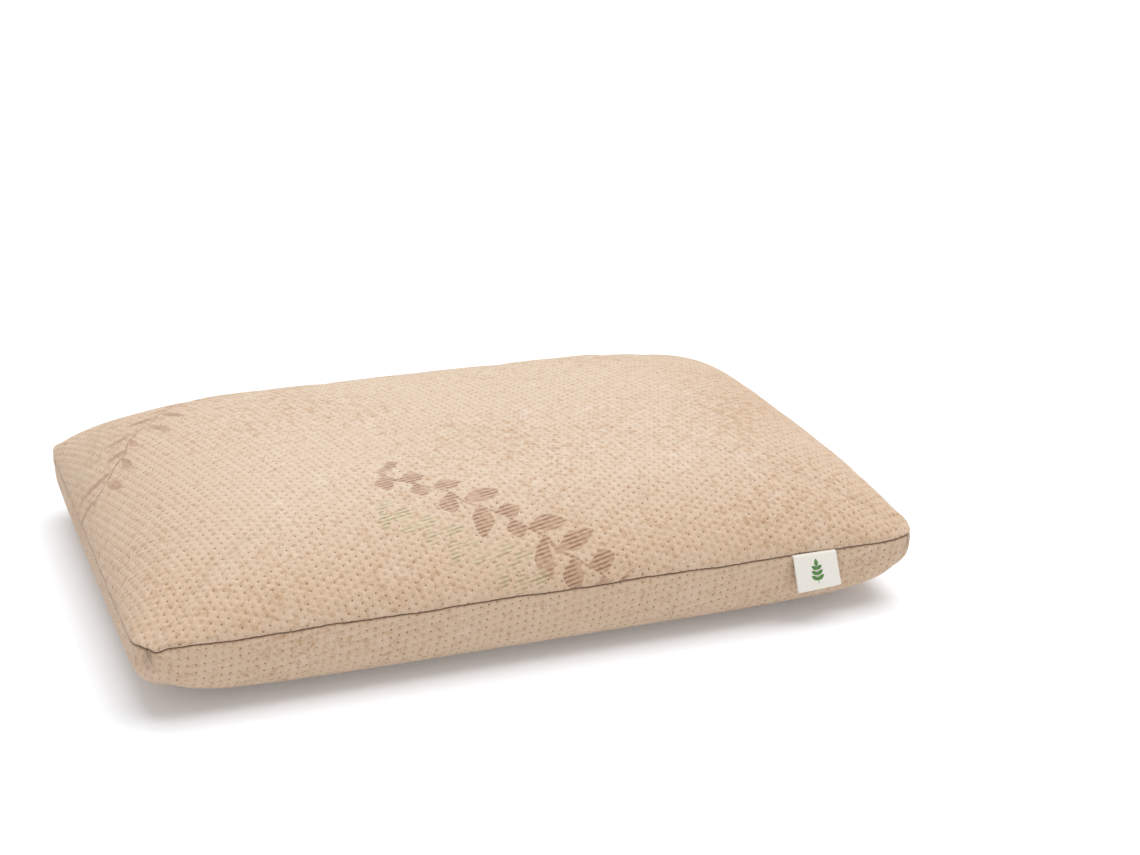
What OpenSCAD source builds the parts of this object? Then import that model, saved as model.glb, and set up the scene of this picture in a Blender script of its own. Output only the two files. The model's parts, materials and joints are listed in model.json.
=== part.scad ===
// Bed pillow: a moulded foam core in a sewn inner liner, inside a two-panel knitted cover.
// The cover closes with a coil zip along its back edge. A ribbon tag hangs from the front seam.
// +X runs along the long side, -Y faces the front, +Z is up. The origin is at the bottom centre.

/* [Pillow] */
// Length of the finished pillow along its long side
pillow_length = 600; // [560:5:620]
// Width of the finished pillow from front to back
pillow_width = 400; // [380:5:420]
// Height at the crown
pillow_height = 120; // [100:2:140]
// Height of the cover's edge seam above the surface it rests on
seam_height = 57; // [50:1:62]
// Squareness of the outline seen from above
outline_power = 24; // [12:1:30]

/* [Cover and liner] */
// Thickness of the knitted cover fabric with its backing
cover_t = 2; // [1.6:0.1:2.2]
// Thickness of the jersey liner
liner_t = 1; // [0.8:0.1:1.2]
// Air left between one layer and the next
layer_gap = 0.5; // [0.4:0.05:0.6]
// Width of the seam allowance turned to the inside
allowance_w = 5; // [4:0.5:5.5]
// Thickness of one ply of the seam allowance
allowance_t = 1; // [0.8:0.1:1.2]

/* [Zip] */
// Length of the zip opening
zip_length = 440; // [380:10:450]
// Height of the slot between the two panel hems
zip_slot = 9.2; // [8.8:0.1:10]
// Height of one zip tape
tape_w = 9; // [8:0.2:9.2]
// Distance that the slider travels
slider_travel = 420; // [300:10:420]

/* [Tag and care label] */
// Width of the ribbon tag on the front seam
tag_w = 36; // [30:1:40]
// Length of the ribbon tag below the seam
tag_drop = 28; // [20:1:34]
// Place of the tag's centre along the front seam
tag_x = 207; // [150:1:230]
// Angle by which the tag is sewn askew
tag_skew = 10; // [0:1:12]
// Angle at which the tag stands off from the vertical
tag_lift = 14; // [5:1:15]
// Width of the care label on the end seam
care_w = 30; // [20:1:40]
// Length of the care label below the seam
care_drop = 38; // [25:1:44]
// Place of the care label's centre along the end seam
care_y = 110; // [60:1:130]

/* [Hidden] */
$fn = 48;
half_l = pillow_length / 2;
half_w = pillow_width / 2;

// The dome's profile along and across: a larger side power keeps the slope nearer the rim
top_side_power = [5.6, 3];
top_root = 1.62;
base_side_power = [5.8, 5.8];
base_root = 4.3;
// Share of the full depth at which the base becomes flat
base_flat_share = 0.97;

// Stations around the rim and rings from the rim to the middle, as shares of the half size
zip_end = zip_length / 2;
zip_ramp = 12;
zip_in = zip_end / half_l;
zip_out = (zip_end + zip_ramp) / half_l;
long_stations = [-1, -0.955, -0.88, -zip_out, -zip_in, -0.4, 0, 0.4, zip_in, zip_out, 0.88, 0.955];
short_stations = [-1, -0.94, -0.82, -0.45, 0, 0.45, 0.82, 0.94];
rim = concat(
    [for (s = long_stations) [s, -1]],
    [for (s = short_stations) [1, s]],
    [for (s = long_stations) [-s, 1]],
    [for (s = short_stations) [-1, -s]]
);
rings = [1, 0.997, 0.985, 0.95, 0.87, 0.72, 0.6, 0.3];

// Layers from the outside in
liner_inset = cover_t + allowance_w + 0.3;
liner_skin = cover_t + layer_gap;
foam_inset = liner_inset + liner_t + layer_gap;
foam_skin = liner_skin + liner_t + layer_gap;

// Seam stitches between the two panels
seam_gap = 1.0;
seam_thread_w = 3;
seam_thread_t = 0.7;
overlock_w = 0.8;
zip_hem = 0.3;

// Zip cross-section, measured along +Y from the tape's inner face
tape_y = half_w - 4;
tape_t = 0.6;
tape_slot = 0.9;
coil_y = tape_y + tape_t + 0.1;
coil_d = 2.2;
coil_h = 2;
coil_slot = 0.6;
stop_len = 3;
stitch_y = half_w + 0.15;
stitch_d = 0.4;
stitch_z = 7;
tack_w = 2;
tack_t = 0.5;

// Slider at its closed place, near the +X end
slider_len = 12;
slider_w = 8;
slider_x = zip_end - 11;
plate_t = 1;
back_plate_y = tape_y - 0.6 - plate_t;
front_plate_y = coil_y + coil_d + 0.3;
wedge_t = 0.4;
wedge_len = 3;
lip_t = 0.8;
lip_drop = 2.1;
bail_len = 9;
bail_w = 1.4;
bail_t = 0.9;
bail_rise = 2.4;

// Pull tab, hinged on a bar through the bail
bar_d = 1.2;
bar_x = slider_x;
bar_y = front_plate_y + plate_t + bail_rise / 2;
tab_w = 5.6;
tab_t = 1;
tab_len = 24;
arm_gap = 2.2;
arm_len = 5.6;
eye_d = 2.6;

// Hanging tags
tag_t = 0.8;
tag_clear = 0.4;
care_t = 0.5;
care_lift = 4;
sprig_t = 0.15;
sprig_len = 17;
leaflet_len = 6.4;
leaflet_w = 3;
leaflet_pairs = 3;

// Scale that carries a point of the square rim onto the rounded outline
function rounding(d) =
    pow(pow(abs(d.x), outline_power) + pow(abs(d.y), outline_power), -1 / outline_power);

// Point of the outline in direction d, drawn in by inset
function outline_point(d, inset) =
    rounding(d) * [(half_l - inset) * d.x, (half_w - inset) * d.y];
function outline(inset) = [for (d = rim) outline_point(d, inset)];

// Share of the full height reached at share m of the way out along direction d
function rise(m, d, power, root) =
    pow((1 - pow(m * abs(d.x), power.x)) * (1 - pow(m * abs(d.y), power.y)), 1 / root);

// 1 where the rim passes the zip opening, else 0
function at_zip(d) = d.y == 1 && abs(d.x) <= zip_in + 0.001 ? 1 : 0;

// Height of the panel's edge above or below the seam plane, opened out along the zip
function edge_offset(d) = seam_gap / 2 + at_zip(d) * (zip_slot - seam_gap) / 2;

// One ring of a dome from base height z0 to crown height z1
function top_ring(m, inset, dz, z1) = [
    for (d = rim) let (z0 = seam_height + dz + edge_offset(d))
        concat(m * outline_point(d, inset), z0 + (z1 - z0) * rise(m, d, top_side_power, top_root))
];
function base_ring(m, inset, dz, z1) = [
    for (d = rim) let (z0 = seam_height - dz - edge_offset(d),
        share = rise(m, d, base_side_power, base_root) / base_flat_share)
        concat(m * outline_point(d, inset), z0 + (z1 - z0) * min(1, share))
];
function reversed(list) = [for (i = [len(list) - 1 : -1 : 0]) list[i]];

// Ring at the free end of the seam allowance
function allowance_ring(dz, way) = [
    for (d = rim) let (w = at_zip(d) ? zip_hem : allowance_w)
        concat(outline_point(d, cover_t + w), seam_height + way * (edge_offset(d) + dz))
];

// Closed solid through a stack of rings, with a middle point at each end. The rings grow up to
// ring number turn and shrink after it, and each wall is split the same way as its neighbours'.
module ring_solid(stack, turn, first_tip, last_tip, flip = false) {
    n = len(rim);
    points = concat([first_tip], [for (ring = stack) each ring], [last_tip]);
    last = len(points) - 1;
    first_cap = [for (i = [0 : n - 1]) [0, 1 + (i + 1) % n, 1 + i]];
    last_cap = [for (i = [0 : n - 1]) [last, last - n + i, last - n + (i + 1) % n]];
    walls = [for (k = [0 : len(stack) - 2], i = [0 : n - 1])
        let (a = 1 + k * n + i, b = 1 + k * n + (i + 1) % n)
        each k < turn ? [[a, b, b + n], [a, b + n, a + n]] : [[a, b, a + n], [b, b + n, a + n]]];
    faces = concat(first_cap, walls, last_cap);
    polyhedron(points, flip ? [for (f = faces) reversed(f)] : faces);
}

// Flat loop that follows the outline, from one inset to a deeper one
module outline_band(outer_inset, inner_inset, z, t, open_at_zip) {
    translate([0, 0, z - t / 2]) linear_extrude(t) difference() {
        polygon(outline(outer_inset));
        polygon(outline(inner_inset));
        if (open_at_zip)
            translate([-zip_end - zip_ramp, 0]) square([zip_length + 2 * zip_ramp, half_w + 1]);
    }
}

module foam_core() {
    inner = [for (r = reversed(rings)) top_ring(r, foam_inset, 0, pillow_height - foam_skin)];
    lower = [for (r = rings) base_ring(r, foam_inset, 0, foam_skin)];
    color("ivory") ring_solid(concat(inner, lower), len(inner),
        [0, 0, pillow_height - foam_skin], [0, 0, foam_skin]);
}

module liner_top_panel() {
    outer = [for (r = reversed(rings)) top_ring(r, liner_inset, 0, pillow_height - liner_skin)];
    inset = liner_inset + liner_t;
    crown = pillow_height - liner_skin - liner_t;
    inner = [for (r = rings) top_ring(r, inset, 0, crown)];
    color("white") ring_solid(concat(outer, inner), len(outer),
        [0, 0, pillow_height - liner_skin], [0, 0, crown]);
}

module liner_bottom_panel() {
    outer = [for (r = reversed(rings)) base_ring(r, liner_inset, 0, liner_skin)];
    inset = liner_inset + liner_t;
    floor_z = liner_skin + liner_t;
    inner = [for (r = rings) base_ring(r, inset, 0, floor_z)];
    color("white") ring_solid(concat(outer, inner), len(outer),
        [0, 0, liner_skin], [0, 0, floor_z], flip = true);
}

module liner_seam_thread() {
    color("gainsboro")
        outline_band(liner_inset + 0.1, liner_inset + liner_t, seam_height, seam_thread_t, true);
}

module cover_top_panel() {
    outer = [for (r = reversed(rings)) top_ring(r, 0, 0, pillow_height)];
    hem = [allowance_ring(0, 1), allowance_ring(allowance_t, 1)];
    crown = pillow_height - cover_t;
    inner = [for (r = rings) top_ring(r, cover_t, allowance_t, crown)];
    color("tan") ring_solid(concat(outer, hem, inner), len(outer),
        [0, 0, pillow_height], [0, 0, crown]);
}

module cover_bottom_panel() {
    outer = [for (r = reversed(rings)) base_ring(r, 0, 0, 0)];
    hem = [allowance_ring(0, -1), allowance_ring(allowance_t, -1)];
    inner = [for (r = rings) base_ring(r, cover_t, allowance_t, cover_t)];
    color("burlywood") ring_solid(concat(outer, hem, inner), len(outer),
        [0, 0, 0], [0, 0, cover_t], flip = true);
}

module cover_seam_thread() {
    color("saddlebrown") outline_band(0.2, seam_thread_w, seam_height, seam_thread_t, true);
}

module cover_overlock_thread() {
    inset = cover_t + allowance_w - overlock_w - 0.2;
    color("peru") outline_band(inset, inset + overlock_w, seam_height, seam_thread_t, true);
}

module zipper_tape(way) {
    z = seam_height + (way > 0 ? tape_slot / 2 : -tape_slot / 2 - tape_w);
    color("bisque") translate([-zip_end, tape_y, z]) cube([zip_length, tape_t, tape_w]);
}

module zipper_coil(way) {
    z = seam_height + (way > 0 ? coil_slot / 2 : -coil_slot / 2 - coil_h);
    color("wheat") translate([-zip_end + stop_len, coil_y, z])
        cube([zip_length - 2 * stop_len - 0.4, coil_d, coil_h]);
}

module zipper_top_stops() {
    color("silver") for (way = [0, 1]) mirror([0, 0, way])
        translate([zip_end - stop_len, coil_y, coil_slot / 2 + (way ? -seam_height : seam_height)])
        cube([stop_len, coil_d, coil_h]);
}

module zipper_bottom_stop() {
    h = coil_slot + 2 * coil_h;
    color("silver") translate([-zip_end, coil_y, seam_height - h / 2])
        cube([stop_len - 0.3, coil_d, h]);
}

module zipper_stitch(way) {
    color("peru") translate([0, stitch_y + stitch_d / 2, seam_height + way * stitch_z])
        rotate([0, 90, 0]) cylinder(d = stitch_d, h = zip_length, center = true);
}

module zipper_end_tacks() {
    color("peru") for (side = [-1, 1])
        translate([side * (zip_end + zip_ramp / 2) - tack_w / 2, stitch_y, seam_height - stitch_z])
        cube([tack_w, tack_t, 2 * stitch_z]);
}

module zipper_slider() {
    mid = seam_height;
    lip_y = front_plate_y - lip_drop;
    color("silver") union() {
        translate([slider_x - slider_len / 2, back_plate_y, mid - slider_w / 2])
            cube([slider_len, plate_t, slider_w]);
        translate([slider_x - slider_len / 2, front_plate_y, mid - slider_w / 2])
            cube([slider_len, plate_t, slider_w]);
        // The wedge that joins the plates and parts the two coils
        translate([slider_x + slider_len / 2 - wedge_len, back_plate_y, mid - wedge_t / 2])
            cube([wedge_len, front_plate_y + plate_t - back_plate_y, wedge_t]);
        // Lips that fold over the coils
        for (side = [-1, 1])
            translate([slider_x - slider_len / 2, lip_y,
                mid + side * (slider_w - lip_t) / 2 - lip_t / 2])
                cube([slider_len, lip_drop + plate_t, lip_t]);
        slider_bail();
    }
}

// Arch on the front plate that holds the pull tab's bar
module slider_bail() {
    y0 = front_plate_y + plate_t;
    translate([slider_x - bail_len / 2, y0 + bail_rise, seam_height - bail_w / 2])
        cube([bail_len, bail_t, bail_w]);
    for (x = [slider_x - bail_len / 2, slider_x + bail_len / 2 - bail_t])
        translate([x, y0 - 0.2, seam_height - bail_w / 2])
            cube([bail_t, bail_rise + 0.4, bail_w]);
}

module zipper_pull_tab() {
    tip_r = tab_w / 2;
    arm_w = (tab_w - arm_gap) / 2;
    color("silver") translate([bar_x, bar_y, seam_height]) union() {
        cylinder(d = bar_d, h = tab_w, center = true);
        for (side = [-1, 1])
            translate([-arm_len - 1, -tab_t / 2, side * (tab_w - arm_w) / 2 - arm_w / 2])
                cube([arm_len + 1, tab_t, arm_w]);
        difference() {
            union() {
                translate([-tab_len + tip_r, -tab_t / 2, -tab_w / 2])
                    cube([tab_len - tip_r - arm_len, tab_t, tab_w]);
                translate([-tab_len + tip_r, 0, 0]) rotate([90, 0, 0])
                    cylinder(r = tip_r, h = tab_t, center = true);
            }
            translate([-tab_len + tip_r, 0, 0]) rotate([90, 0, 0])
                cylinder(d = eye_d, h = 3 * tab_t, center = true);
        }
    }
}

// Rolled edge along the line that a tag hinges on
module rolled_edge(width, t) {
    rotate([0, 90, 0]) cylinder(d = t, h = width, center = true);
}

// Places a flat tag that hangs from the front seam, drawn in X and Z below its hinge line
module on_front_seam() {
    translate([tag_x, -half_w - tag_clear - tag_t / 2, seam_height])
        rotate([-tag_lift, 0, 0]) children();
}

module side_label() {
    color("snow") on_front_seam() {
        difference() {
            rotate([0, -tag_skew, 0]) translate([-tag_w / 2, -tag_t / 2, -tag_drop])
                cube([tag_w, tag_t, tag_drop + tag_w]);
            translate([-tag_w, -tag_t, 0]) cube([2 * tag_w, 2 * tag_t, 2 * tag_w]);
        }
        rolled_edge(tag_w, tag_t);
    }
}

// Almond-shaped leaflet that points along +Y from the origin
module leaflet(length, width) {
    r = (length * length / 4 + width * width / 4) / width;
    intersection() {
        translate([r - width / 2, length / 2]) circle(r);
        translate([width / 2 - r, length / 2]) circle(r);
    }
}

module side_label_sprig() {
    color("forestgreen") on_front_seam() rotate([0, -tag_skew, 0])
        translate([0, -tag_t / 2 - 0.05, -tag_drop / 2 - sprig_len / 2])
        rotate([90, 0, 0]) linear_extrude(sprig_t) union() {
            translate([-0.3, 0]) square([0.6, sprig_len - leaflet_len + 1]);
            translate([0, sprig_len - leaflet_len]) leaflet(leaflet_len, leaflet_w);
            for (k = [0 : leaflet_pairs - 1], side = [-1, 1])
                translate([0, 2 + k * 3.4]) rotate(side * 58) leaflet(leaflet_len, leaflet_w);
        }
}

module care_label() {
    color("white") translate([half_l + tag_clear + care_t / 2, care_y, seam_height])
        rotate([0, -care_lift, 0]) {
            translate([-care_t / 2, -care_w / 2, -care_drop]) cube([care_t, care_w, care_drop]);
            rotate([0, 0, 90]) rolled_edge(care_w, care_t);
        }
}

foam_core();
liner_top_panel();
liner_bottom_panel();
liner_seam_thread();
cover_top_panel();
cover_bottom_panel();
cover_seam_thread();
cover_overlock_thread();
zipper_tape(1);  // zipper_tape_upper
zipper_tape(-1);  // zipper_tape_lower
zipper_coil(1);  // zipper_coil_upper
zipper_coil(-1);  // zipper_coil_lower
zipper_top_stops();
zipper_bottom_stop();
zipper_stitch(1);  // zipper_stitch_upper
zipper_stitch(-1);  // zipper_stitch_lower
zipper_end_tacks();
zipper_slider();
zipper_pull_tab();
side_label();
side_label_sprig();
care_label();
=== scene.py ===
"""Bed pillow: a foam core in a jersey liner, inside a zipped cover of two knitted panels.

The frame gives every size and place. Lengths below are in metres, and MM turns millimetres into metres.
"""

import json
import math

import bmesh
import bpy
import numpy as np
from mathutils import Matrix, Vector


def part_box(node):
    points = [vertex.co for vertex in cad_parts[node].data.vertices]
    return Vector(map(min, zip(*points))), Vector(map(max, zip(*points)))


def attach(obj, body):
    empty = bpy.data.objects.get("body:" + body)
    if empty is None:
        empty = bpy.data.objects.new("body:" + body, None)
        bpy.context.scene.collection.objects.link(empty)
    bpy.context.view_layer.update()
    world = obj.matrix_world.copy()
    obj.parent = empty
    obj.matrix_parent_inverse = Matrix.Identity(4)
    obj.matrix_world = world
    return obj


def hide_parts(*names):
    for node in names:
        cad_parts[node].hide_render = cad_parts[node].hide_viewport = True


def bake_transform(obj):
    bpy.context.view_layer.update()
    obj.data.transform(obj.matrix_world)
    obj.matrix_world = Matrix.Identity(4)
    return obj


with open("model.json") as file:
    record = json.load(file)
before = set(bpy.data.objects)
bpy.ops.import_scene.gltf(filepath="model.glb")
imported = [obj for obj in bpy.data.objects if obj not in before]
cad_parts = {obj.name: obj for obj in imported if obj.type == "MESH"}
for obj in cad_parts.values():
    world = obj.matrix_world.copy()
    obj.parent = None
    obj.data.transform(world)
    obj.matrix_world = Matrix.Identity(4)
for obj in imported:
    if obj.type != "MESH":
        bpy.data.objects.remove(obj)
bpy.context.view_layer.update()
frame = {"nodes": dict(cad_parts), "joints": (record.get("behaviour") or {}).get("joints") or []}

MM = 0.001

# ---------------------------------------------------------------- sizes from the frame

TOP_LOW, TOP_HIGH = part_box("cover_top_panel")
BASE_LOW, BASE_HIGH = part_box("cover_bottom_panel")
HALF_L = TOP_HIGH.x
HALF_W = TOP_HIGH.y
CROWN_Z = TOP_HIGH.z
SEAM_Z = (TOP_LOW.z + BASE_HIGH.z) / 2
LINER_INSET = HALF_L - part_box("liner_top_panel")[1].x
LINER_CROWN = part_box("liner_top_panel")[1].z
LINER_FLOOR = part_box("liner_bottom_panel")[0].z
FOAM_INSET = HALF_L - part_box("foam_core")[1].x
FOAM_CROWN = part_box("foam_core")[1].z
FOAM_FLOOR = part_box("foam_core")[0].z
TAPE_LOW, TAPE_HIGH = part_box("zipper_tape_upper")
COIL_LOW, COIL_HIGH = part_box("zipper_coil_upper")
ZIP_END = TAPE_HIGH.x

# The dome's profile, as the part's source has it: powers along and across, then the root
OUTLINE_POWER = 24
TOP_PROFILE = ((5.6, 3.0), 1.62)
BASE_PROFILE = ((5.8, 5.8), 4.3)
BASE_FLAT_SHARE = 0.97
FLAT_EASE = 0.012
ON_BACK_EDGE = 0.999999
ON_RIM = 0.9999

COVER_T = 2 * MM
LINER_T = 1 * MM
HEM_PLY = 1 * MM
ALLOWANCE = 5 * MM
LINER_ALLOWANCE = 0.6 * MM
ZIP_HEM = 0.4 * MM
ZIP_SLOT_HALF = 4.6 * MM
ZIP_RAMP = 5 * MM
ZIP_SEAM_GAP = 4 * MM
LIP = 2 * MM
LIP_GAP = 0.15 * MM
LIP_STEPS = 5
INSIDE_GAP = 0.4 * MM
THREAD_DEPTH = 0.75 * MM
STITCH_LINE = 7 * MM
TAPE_RIPPLE = 0.12 * MM
TAPE_SPARE = 0.05 * MM

# Faces along and across each panel. The inside has one for every INSIDE_STEP of the outside.
COVER_FACES = (328, 228)
LINER_FACES = (120, 84)
FOAM_FACES = (140, 96)
CLOTH_FACES = (80, 56)
INSIDE_STEP = 4
PROFILE_SAMPLES = 4001
ZIP_STATIONS = 221


# ---------------------------------------------------------------- the pillow's shape


def rounding(c, s):
    """Scale that carries a point of the square rim onto the rounded outline."""
    return (np.abs(c) ** OUTLINE_POWER + np.abs(s) ** OUTLINE_POWER) ** (-1 / OUTLINE_POWER)


def direction(u, v):
    """Point of the square rim that lies in the same direction as (u, v)."""
    reach = np.maximum(np.abs(u), np.abs(v))
    centre = reach < 1e-9
    return np.where(centre, 1.0, u / (reach + centre)), v / (reach + centre)


def zip_share(c, s):
    """1 along the zip opening in the back edge, easing to 0 past its ends."""
    past = np.clip((np.abs(c) * HALF_L - ZIP_END) / ZIP_RAMP, 0, 1)
    return np.where(s > ON_BACK_EDGE, 1 - past * past * (3 - 2 * past), 0.0)


def rise(u, v, profile):
    """Share of the full height at (u, v)."""
    (power_x, power_y), root = profile
    side = (1 - np.abs(u) ** power_x) * (1 - np.abs(v) ** power_y)
    return np.maximum(side, 0) ** (1 / root)


def ease_to_flat(share):
    """Share of the depth, levelled off where the base rests."""
    t = share / BASE_FLAT_SHARE
    over = np.clip(t - 1 + FLAT_EASE, 0, 2 * FLAT_EASE)
    return np.minimum(t - over * over / (4 * FLAT_EASE), 1)


def dome(u, v, way, inset, crown, lip, slot=0.0):
    """Points of one half of a casing. way is 1 above the seam and -1 below it, and slot is half
    the height of the opening that its edge leaves for the zip."""
    c, s = direction(u, v)
    k = rounding(c, s)
    share = rise(u, v, TOP_PROFILE) if way > 0 else ease_to_flat(rise(u, v, BASE_PROFILE))
    edge = SEAM_Z + way * (lip + slot * zip_share(c, s))
    x = (HALF_L - inset) * u * k
    y = (HALF_W - inset) * v * k
    return np.stack([x, y, edge + (crown - edge) * share], axis=-1)


def even_stations(along, way, count):
    """Stations from -1 to 1 that lie at even distances over the cloth."""
    t = np.sin(np.linspace(-math.pi / 2, math.pi / 2, PROFILE_SAMPLES))
    zero = np.zeros_like(t)
    crown = CROWN_Z if way > 0 else 0.0
    points = dome(t, zero, way, 0, crown, LIP) if along else dome(zero, t, way, 0, crown, LIP)
    run = np.concatenate([[0], np.cumsum(np.linalg.norm(np.diff(points, axis=0), axis=1))])
    return np.interp(np.linspace(0, run[-1], count + 1), run, t)


def panel_grid(faces, way):
    """Grid of (u, v) stations over one half of the pillow."""
    us = even_stations(True, way, faces[0])
    vs = even_stations(False, way, faces[1])
    return np.meshgrid(us, vs, indexing="ij")


def cloth_coordinates(points):
    """Distance over the cloth from the middle, along each direction of a grid."""
    result = np.zeros(points.shape[:2] + (2,))
    for axis in (0, 1):
        step = np.linalg.norm(np.diff(points, axis=axis), axis=2)
        run = np.insert(np.cumsum(step, axis=axis), 0, 0, axis=axis)
        middle = np.take(run, [run.shape[axis] // 2], axis=axis)
        result[..., axis] = run - middle
    return result


def seam_run(c, s):
    """Distance along the seam, from the front left corner to the right and all round."""
    long_side, short_side = 2 * HALF_L, 2 * HALF_W
    x, y = c * HALF_L, s * HALF_W
    front = np.abs(s + 1) < 1e-6
    right = np.abs(c - 1) < 1e-6
    back = np.abs(s - 1) < 1e-6
    left_run = long_side * 2 + short_side + (HALF_W - y)
    run = np.where(back, long_side + short_side + (HALF_L - x), left_run)
    run = np.where(right, long_side + (y + HALF_W), run)
    return np.where(front, x + HALF_L, run)


def corner_share(c, s, reach):
    """1 at the corners, falling to 0 over reach."""
    gap = np.hypot((1 - np.abs(c)) * HALF_L, (1 - np.abs(s)) * HALF_W)
    return np.exp(-((gap / reach) ** 2))


def seam_wobble(c, s):
    """How far a hand-fed seam wanders up and down, with a kink at the front left corner."""
    run = seam_run(c, s) / MM
    sway = 0.45 * np.sin(run / 19.1 + 0.6) + 0.22 * np.sin(run / 7.3 + 2.1)
    tug = 0.12 * np.sin(run / 2.9 + 1.1 * np.sin(run / 31)) + 0.08 * np.sin(run / 1.37)
    perimeter = 4 * (HALF_L + HALF_W) / MM
    from_corner = run - perimeter * (run > 0.95 * perimeter)
    dip = -2.6 * np.exp(-(((from_corner - 9) / 7) ** 2))
    kink = dip + 1.8 * np.exp(-(((from_corner + 6) / 6) ** 2))
    return (sway + tug + kink) * MM * (1 - zip_share(c, s))


def seam_puckers(u, v, way, points):
    """Gathers that the seam draws into the cloth beside it."""
    c, s = direction(u, v)
    rim = dome(c, s, way, 0, CROWN_Z if way > 0 else 0.0, LIP, ZIP_SLOT_HALF)
    away = np.linalg.norm(points - rim, axis=-1)
    run = seam_run(c, s) / MM
    corner = corner_share(c, s, 34 * MM)
    small = np.sin(run / 1.45 + 1.3 * np.sin(run / 23) + way) * np.exp(-away / (4 * MM))
    wide = np.sin(run / 3.1 + 1.7 * np.sin(run / 41) + 2 * way) * np.exp(-away / (13 * MM))
    folds = np.sin(run / 4.3 + 0.9 * way) * np.exp(-(((away - 9 * MM) / (12 * MM)) ** 2))
    lumps = 0.13 * small + (0.16 + 0.45 * corner) * wide + 0.75 * corner * folds
    settle = 1 - np.exp(-away / (1.5 * MM))
    return (lumps * settle * MM * (1 - 0.7 * zip_share(c, s)), away)


def grid_normals(points, way):
    """Outward normals of a grid of points."""
    along = np.gradient(points, axis=0)
    across = np.gradient(points, axis=1)
    normal = np.cross(along, across) * way
    return normal / np.maximum(np.linalg.norm(normal, axis=-1, keepdims=True), 1e-12)


def smooth_weights(fine, coarse):
    """Weights of a cubic spline that carries coarse stations to fine ones."""
    place = np.linspace(0, coarse - 1, fine)
    gap = np.abs(place[:, None] - np.arange(coarse)[None, :])
    near = 2 / 3 - gap**2 + gap**3 / 2
    far = np.clip(2 - gap, 0, None) ** 3 / 6
    weights = np.where(gap < 1, near, far)
    return weights / weights.sum(axis=1, keepdims=True)


def resample(field, faces):
    """Carries a field from its own grid to a grid of that many faces."""
    along = smooth_weights(faces[0] + 1, field.shape[0])
    across = smooth_weights(faces[1] + 1, field.shape[1])
    return np.einsum("ai,ijk,bj->abk", along, field, across)


# ---------------------------------------------------------------- meshes


def make_mesh(name, vertices, faces, uv=None):
    """Smooth-shaded object at the origin, with its cloth coordinates in a UV map."""
    mesh = bpy.data.meshes.new(name)
    mesh.from_pydata(np.asarray(vertices, float).reshape(-1, 3).tolist(), [], faces)
    mesh.polygons.foreach_set("use_smooth", [True] * len(mesh.polygons))
    if uv is not None:
        loops = np.zeros(len(mesh.loops), int)
        mesh.loops.foreach_get("vertex_index", loops)
        layer = mesh.uv_layers.new(name="cloth")
        layer.data.foreach_set("uv", np.asarray(uv, np.float32)[loops].ravel())
    mesh.update()
    obj = bpy.data.objects.new(name, mesh)
    bpy.context.scene.collection.objects.link(obj)
    return obj


def grid_faces(rows, columns, first=0, flip=False):
    """Quads of a grid whose points run column by column within each row."""
    a = first + np.arange(rows - 1)[:, None] * columns + np.arange(columns - 1)[None, :]
    quads = np.stack([a, a + columns, a + columns + 1, a + 1], axis=-1).reshape(-1, 4)
    return (quads[:, ::-1] if flip else quads).tolist()


def rim_loop(rows, columns, first=0):
    """Indices round a grid's rim, from its front left corner, anticlockwise from above."""
    index = first + np.arange(rows * columns).reshape(rows, columns)
    return np.concatenate([index[:-1, 0], index[-1, :-1], index[:0:-1, -1], index[0, :0:-1]])


def band_faces(loop_a, loop_b, flip=False):
    """Quads between two closed loops of the same length."""
    quads = np.stack([loop_a, np.roll(loop_a, -1), np.roll(loop_b, -1), loop_b], axis=-1)
    return (quads[:, ::-1] if flip else quads).tolist()


def stepped_faces(fine, coarse, flip=False):
    """Faces between a closed loop and the coarser one inside it."""
    faces = []
    n = len(coarse)
    for k in range(n):
        run = [int(fine[(INSIDE_STEP * k + j) % len(fine)]) for j in range(INSIDE_STEP + 1)]
        face = run + [int(coarse[(k + 1) % n]), int(coarse[k])]
        faces.append(face[::-1] if flip else face)
    return faces


def rim_directions(us, vs):
    """Rim point of each station round a panel, in the order of rim_loop."""
    grid = np.stack(np.meshgrid(us, vs, indexing="ij"), axis=-1)
    flat = grid.reshape(-1, 2)
    loop = flat[rim_loop(len(us), len(vs))]
    return loop[:, 0], loop[:, 1]


def ring(c, s, inset, z):
    """Points of the outline drawn in by inset, at heights z."""
    k = rounding(c, s)
    flat = np.stack([(HALF_L - inset) * c * k, (HALF_W - inset) * s * k], axis=-1)
    return np.concatenate([flat, np.broadcast_to(z, c.shape)[:, None]], axis=-1)


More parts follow.
